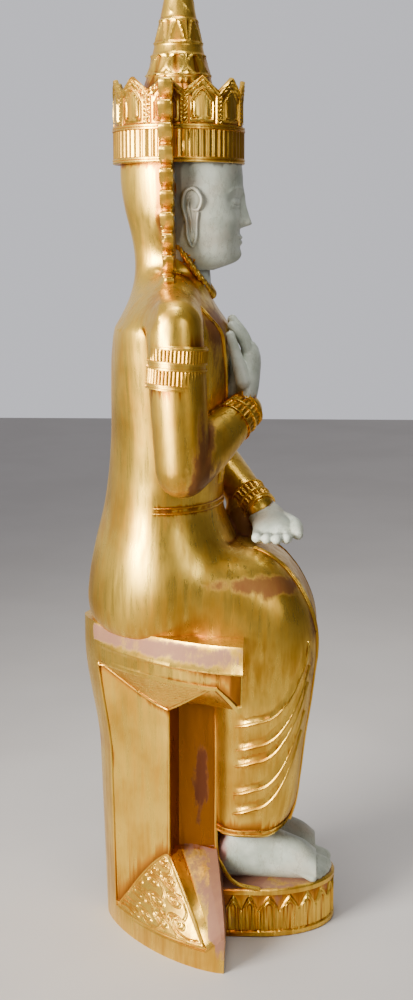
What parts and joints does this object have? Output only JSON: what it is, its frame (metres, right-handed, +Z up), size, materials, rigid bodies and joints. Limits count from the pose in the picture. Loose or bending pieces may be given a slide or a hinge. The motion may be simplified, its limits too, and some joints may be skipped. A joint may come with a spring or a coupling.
{
  "type": "seated buddha statue",
  "caption": "Gilded stone figure in a tall crown, seated on a waisted throne with its feet on a lotus rest, one hand raised before the chest and the other in the lap.",
  "frame": {"origin": "middle of the footprint, on the underside", "axes": "+Z up, the figure faces -Y, its right side is -X"},
  "size_m": [0.394, 0.358, 1.35],
  "materials": {
    "gilded_stone": "satin gold leaf over pale stone, bare stone on face, hands and feet"
  },
  "bodies": {
    "root": {"seated_buddha": "gilded_stone"}
  },
  "joints": []
}
